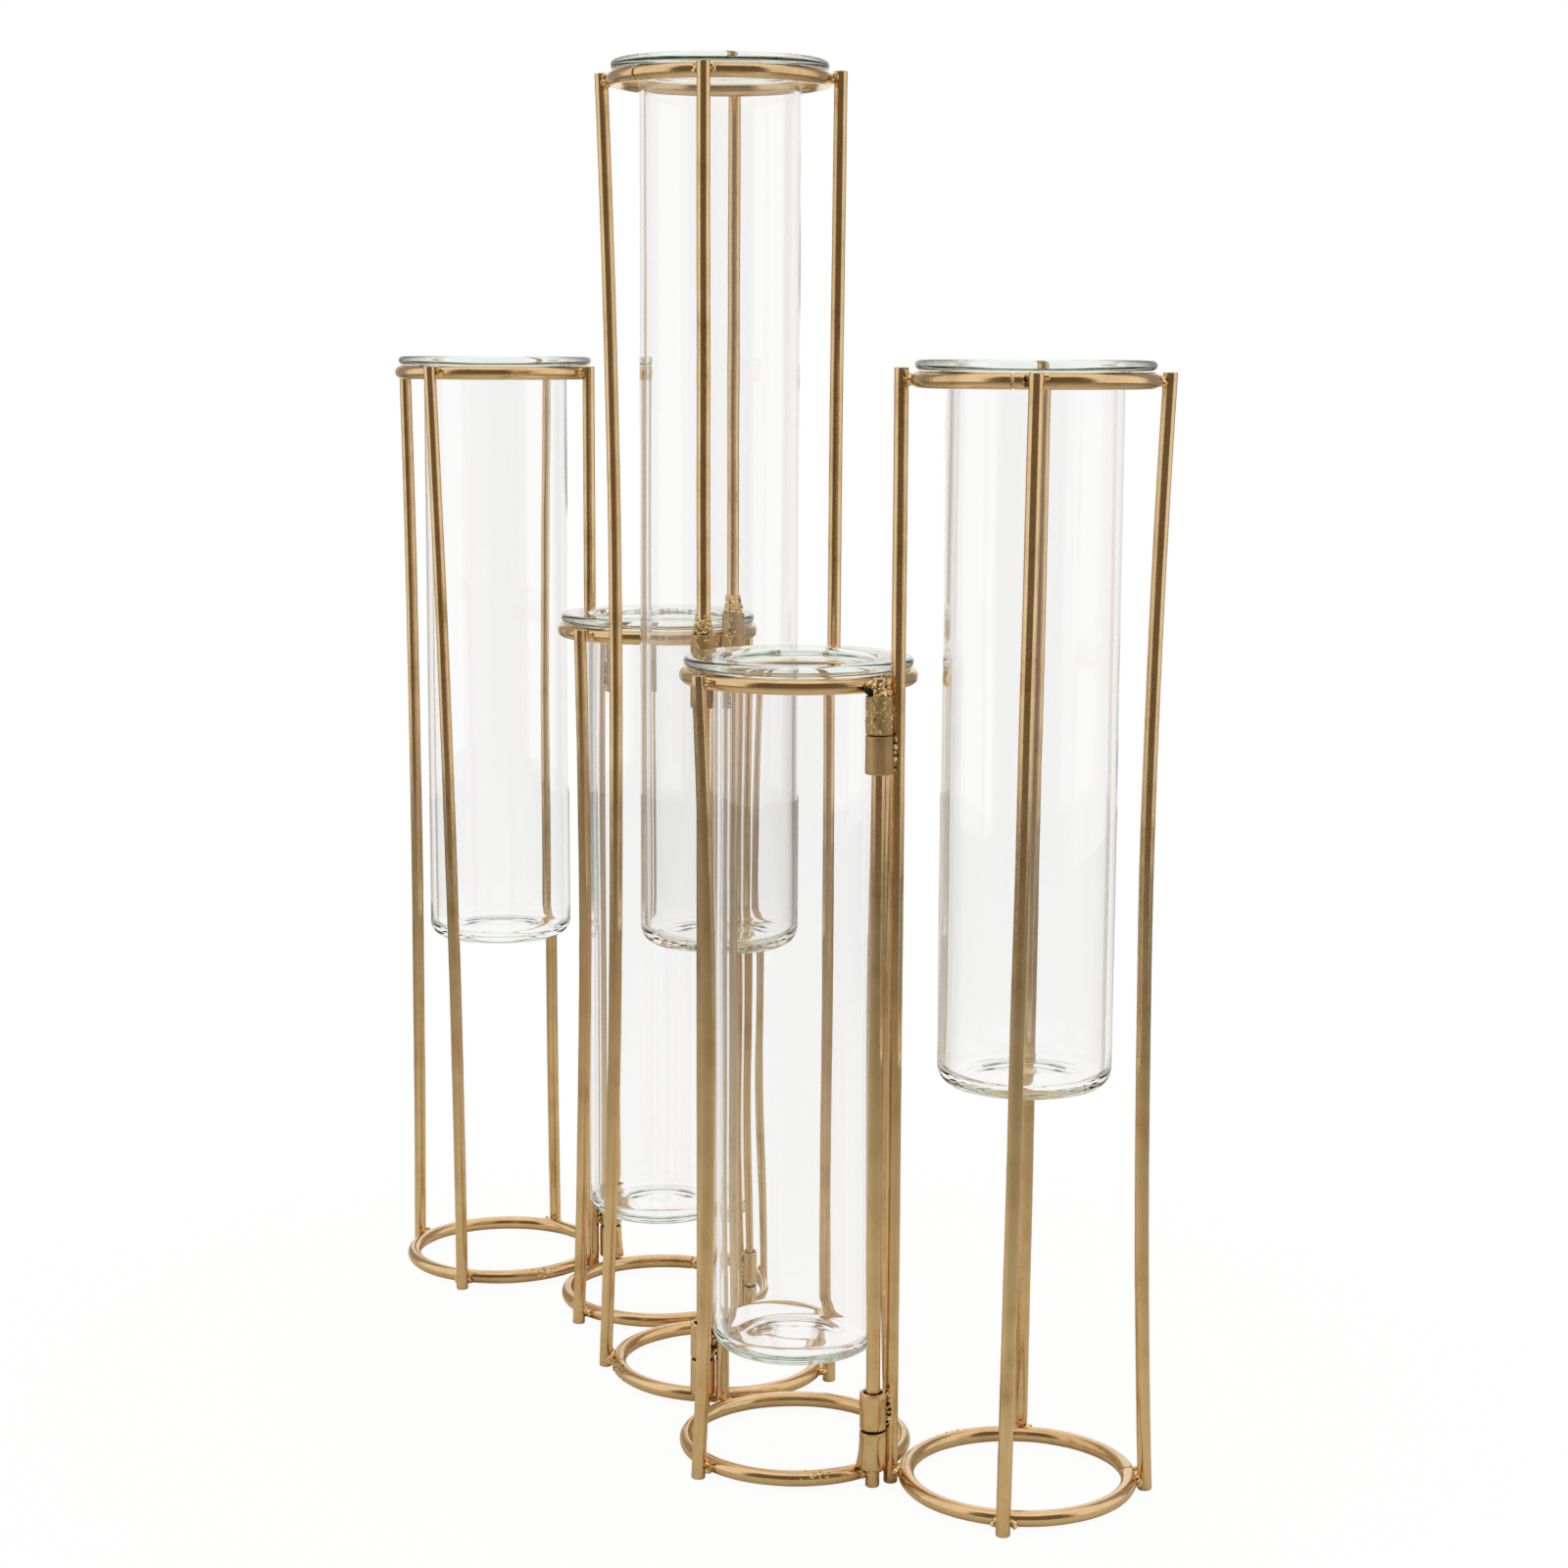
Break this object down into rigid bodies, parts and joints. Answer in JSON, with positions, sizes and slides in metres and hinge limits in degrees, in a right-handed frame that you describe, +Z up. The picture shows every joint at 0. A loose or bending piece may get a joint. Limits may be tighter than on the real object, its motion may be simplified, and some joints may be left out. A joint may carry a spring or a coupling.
{
  "type": "hinged tube vase row",
  "caption": "Row of gold wire stands, hinged to one another at their legs, each holding a clear flanged glass tube that hangs in the stand's top ring.",
  "frame": {"origin": "on the floor plane under the middle of the whole row's bounding box, with the hinges bent as in the picture", "axes": "+Z up, along the glass tubes and the hinge pins; +X along the row from the left mid stand to the right mid stand; +Y to the back of the row"},
  "size_m": [0.3309, 0.1242, 0.3996],
  "materials": {
    "gold_wire": "satin",
    "clear_glass": "clear"
  },
  "bodies": {
    "tall_stand": {"tall_top_ring": "gold_wire", "tall_base_ring": "gold_wire", "tall_front_leg": "gold_wire", "tall_back_leg": "gold_wire", "tall_right_pin_leg": "gold_wire", "tall_left_pin_leg": "gold_wire", "tall_right_upper_collar": "gold_wire", "tall_right_lower_collar": "gold_wire", "tall_left_upper_collar": "gold_wire", "tall_left_lower_collar": "gold_wire"},
    "right_short_stand": {"right_short_top_ring": "gold_wire", "right_short_base_ring": "gold_wire", "right_short_front_leg": "gold_wire", "right_short_back_leg": "gold_wire", "right_short_hinge_leg": "gold_wire", "right_short_pin_leg": "gold_wire", "right_short_upper_barrel": "gold_wire", "right_short_lower_barrel": "gold_wire", "right_short_upper_collar": "gold_wire", "right_short_lower_collar": "gold_wire"},
    "right_mid_stand": {"right_mid_top_ring": "gold_wire", "right_mid_base_ring": "gold_wire", "right_mid_front_leg": "gold_wire", "right_mid_back_leg": "gold_wire", "right_mid_hinge_leg": "gold_wire", "right_mid_outer_leg": "gold_wire", "right_mid_upper_barrel": "gold_wire", "right_mid_lower_barrel": "gold_wire"},
    "left_short_stand": {"left_short_top_ring": "gold_wire", "left_short_base_ring": "gold_wire", "left_short_front_leg": "gold_wire", "left_short_back_leg": "gold_wire", "left_short_hinge_leg": "gold_wire", "left_short_pin_leg": "gold_wire", "left_short_upper_barrel": "gold_wire", "left_short_lower_barrel": "gold_wire", "left_short_upper_collar": "gold_wire", "left_short_lower_collar": "gold_wire"},
    "left_mid_stand": {"left_mid_top_ring": "gold_wire", "left_mid_base_ring": "gold_wire", "left_mid_front_leg": "gold_wire", "left_mid_back_leg": "gold_wire", "left_mid_hinge_leg": "gold_wire", "left_mid_outer_leg": "gold_wire", "left_mid_upper_barrel": "gold_wire", "left_mid_lower_barrel": "gold_wire"},
    "tall_glass": {"tall_glass_tube": "clear_glass"},
    "right_short_glass": {"right_short_glass_tube": "clear_glass"},
    "right_mid_glass": {"right_mid_glass_tube": "clear_glass"},
    "left_short_glass": {"left_short_glass_tube": "clear_glass"},
    "left_mid_glass": {"left_mid_glass_tube": "clear_glass"}
  },
  "joints": [
    {"name": "tall_right_short_hinge", "type": "hinge", "parent": "tall_stand", "child": "right_short_stand", "pos_m": [0.03069, -0.02697, 0], "axis": [0, 0, 1], "range_deg": [-103, 6]},
    {"name": "right_short_right_mid_hinge", "type": "hinge", "parent": "right_short_stand", "child": "right_mid_stand", "pos_m": [0.10699, -0.02498, 0], "axis": [0, 0, 1], "range_deg": [-108, 1.5]},
    {"name": "tall_left_short_hinge", "type": "hinge", "parent": "tall_stand", "child": "left_short_stand", "pos_m": [-0.01981, 0.02336, 0], "axis": [0, 0, 1], "range_deg": [-98, 11.5]},
    {"name": "left_short_left_mid_hinge", "type": "hinge", "parent": "left_short_stand", "child": "left_mid_stand", "pos_m": [-0.09595, 0.02856, 0], "axis": [0, 0, 1], "range_deg": [-93, 16.5]},
    {"name": "tall_glass_lift", "type": "slide", "parent": "tall_stand", "child": "tall_glass", "axis": [0, 0, 1], "range_m": [0, 0.265]},
    {"name": "right_short_glass_lift", "type": "slide", "parent": "right_short_stand", "child": "right_short_glass", "axis": [0, 0, 1], "range_m": [0, 0.2]},
    {"name": "right_mid_glass_lift", "type": "slide", "parent": "right_mid_stand", "child": "right_mid_glass", "axis": [0, 0, 1], "range_m": [0, 0.2]},
    {"name": "left_short_glass_lift", "type": "slide", "parent": "left_short_stand", "child": "left_short_glass", "axis": [0, 0, 1], "range_m": [0, 0.2]},
    {"name": "left_mid_glass_lift", "type": "slide", "parent": "left_mid_stand", "child": "left_mid_glass", "axis": [0, 0, 1], "range_m": [0, 0.2]}
  ]
}
